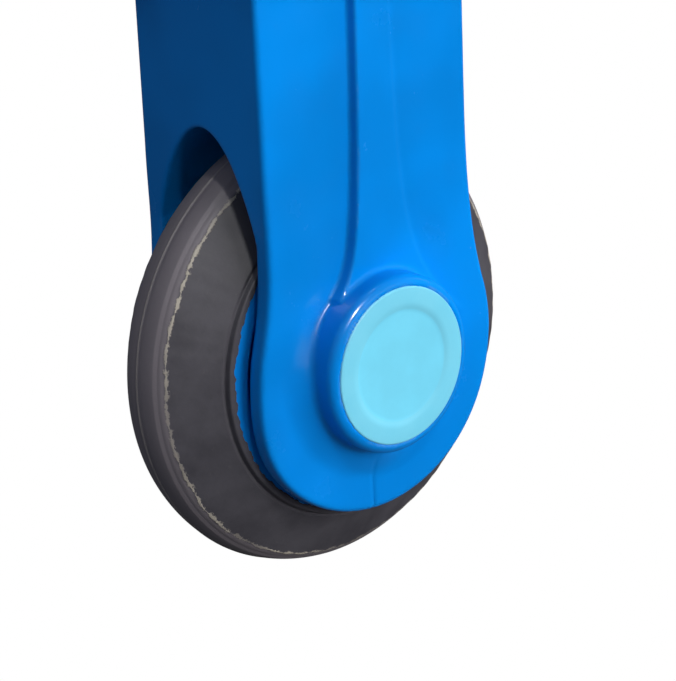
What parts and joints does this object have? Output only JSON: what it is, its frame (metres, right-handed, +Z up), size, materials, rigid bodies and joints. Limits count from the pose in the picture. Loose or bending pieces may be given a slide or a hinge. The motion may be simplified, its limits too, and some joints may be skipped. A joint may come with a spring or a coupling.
{
  "type": "folding platform cart",
  "caption": "Folding platform cart: a moulded deck on fixed wheel legs and swivel casters, with a push handle that folds flat over the deck.",
  "frame": {"origin": "on the floor, under the middle of the cart's box", "axes": "+Z up, -X the front with the fixed wheel legs, +X the end with the handle, -Y the left side"},
  "size_m": [0.74, 0.48, 0.918],
  "materials": {
    "deck_plastic": "fine-textured moulded blue polypropylene with polished edges",
    "leg_plastic": "glossy moulded blue plastic",
    "cap_plastic": "satin moulded light cyan plastic",
    "tyre_rubber": "matt dark grey rubber, scuffed along the moulding line",
    "mat_rubber": "matt ribbed rubber",
    "bumper_rubber": "matt extruded rubber",
    "plug_plastic": "matt black plastic",
    "zinc_steel": "bright zinc-plated steel",
    "bearing_steel": "ground and polished bearing steel",
    "tube_paint": "dark grey powder coat",
    "grip_foam": "closed-cell foam rubber",
    "knob_brass": "turned brass"
  },
  "bodies": {
    "cart": {"deck_shell": "deck_plastic", "load_mat": "mat_rubber", "edge_bumper": "bumper_rubber", "chassis_plates": "zinc_steel", "chassis_rails": "zinc_steel", "chassis_rivets": "zinc_steel", "deck_screws": "zinc_steel", "front_left_leg": "leg_plastic", "front_right_leg": "leg_plastic", "leg_bolts": "zinc_steel", "front_axle_bolts": "zinc_steel", "front_axle_nuts": "zinc_steel", "front_axle_spacers": "zinc_steel", "front_inner_races": "bearing_steel", "front_hub_caps": "cap_plastic", "caster_pedestals": "leg_plastic", "pedestal_bolts": "zinc_steel", "kingpins": "zinc_steel", "upper_raceways": "zinc_steel", "handle_brackets": "zinc_steel", "bracket_bolts": "zinc_steel", "pivot_bolts": "zinc_steel"},
    "front_left_wheel": {"front_left_rim": "leg_plastic", "front_left_tyre": "tyre_rubber", "front_left_outer_races": "bearing_steel", "front_left_bearing_balls": "bearing_steel"},
    "front_right_wheel": {"front_right_rim": "leg_plastic", "front_right_tyre": "tyre_rubber", "front_right_outer_races": "bearing_steel", "front_right_bearing_balls": "bearing_steel"},
    "rear_left_wheel": {"rear_left_rim": "leg_plastic", "rear_left_tyre": "tyre_rubber", "rear_left_outer_races": "bearing_steel", "rear_left_bearing_balls": "bearing_steel"},
    "rear_right_wheel": {"rear_right_rim": "leg_plastic", "rear_right_tyre": "tyre_rubber", "rear_right_outer_races": "bearing_steel", "rear_right_bearing_balls": "bearing_steel"},
    "left_caster": {"left_fork": "leg_plastic", "left_lower_raceway": "zinc_steel", "left_swivel_balls": "bearing_steel", "left_axle_set": "zinc_steel", "left_inner_races": "bearing_steel", "left_hub_caps": "cap_plastic"},
    "left_knob": {"left_clamp_knob": "cap_plastic", "left_knob_insert": "knob_brass"},
    "right_caster": {"right_fork": "leg_plastic", "right_lower_raceway": "zinc_steel", "right_swivel_balls": "bearing_steel", "right_axle_set": "zinc_steel", "right_inner_races": "bearing_steel", "right_hub_caps": "cap_plastic"},
    "right_knob": {"right_clamp_knob": "cap_plastic", "right_knob_insert": "knob_brass"},
    "handle": {"handle_tube": "tube_paint", "handle_brace": "tube_paint", "handle_grip": "grip_foam", "grip_end_rings": "cap_plastic", "handle_end_plugs": "plug_plastic"}
  },
  "joints": [
    {"name": "front_left_wheel_spin", "type": "hinge", "parent": "cart", "child": "front_left_wheel", "pos_m": [-0.3, -0.205, 0.05], "axis": [0, 1, 0], "continuous": true},
    {"name": "left_caster_swivel", "type": "hinge", "parent": "cart", "child": "left_caster", "pos_m": [0.27, -0.205, 0.118], "axis": [0, 0, 1], "continuous": true},
    {"name": "rear_left_wheel_spin", "type": "hinge", "parent": "left_caster", "child": "rear_left_wheel", "pos_m": [0.302, -0.205, 0.05], "axis": [0, 1, 0], "continuous": true},
    {"name": "front_right_wheel_spin", "type": "hinge", "parent": "cart", "child": "front_right_wheel", "pos_m": [-0.3, 0.205, 0.05], "axis": [0, 1, 0], "continuous": true},
    {"name": "right_caster_swivel", "type": "hinge", "parent": "cart", "child": "right_caster", "pos_m": [0.27, 0.205, 0.118], "axis": [0, 0, 1], "continuous": true},
    {"name": "rear_right_wheel_spin", "type": "hinge", "parent": "right_caster", "child": "rear_right_wheel", "pos_m": [0.302, 0.205, 0.05], "axis": [0, 1, 0], "continuous": true},
    {"name": "handle_fold", "type": "hinge", "parent": "cart", "child": "handle", "pos_m": [0.322, 0, 0.238], "axis": [0, -1, 0], "range_deg": [0, 90]},
    {"name": "left_knob_turn", "type": "hinge", "parent": "cart", "child": "left_knob", "pos_m": [0.322, -0.175, 0.238], "axis": [0, -1, 0], "range_deg": [0, 270]},
    {"name": "right_knob_turn", "type": "hinge", "parent": "cart", "child": "right_knob", "pos_m": [0.322, 0.175, 0.238], "axis": [0, 1, 0], "range_deg": [0, 270]}
  ]
}
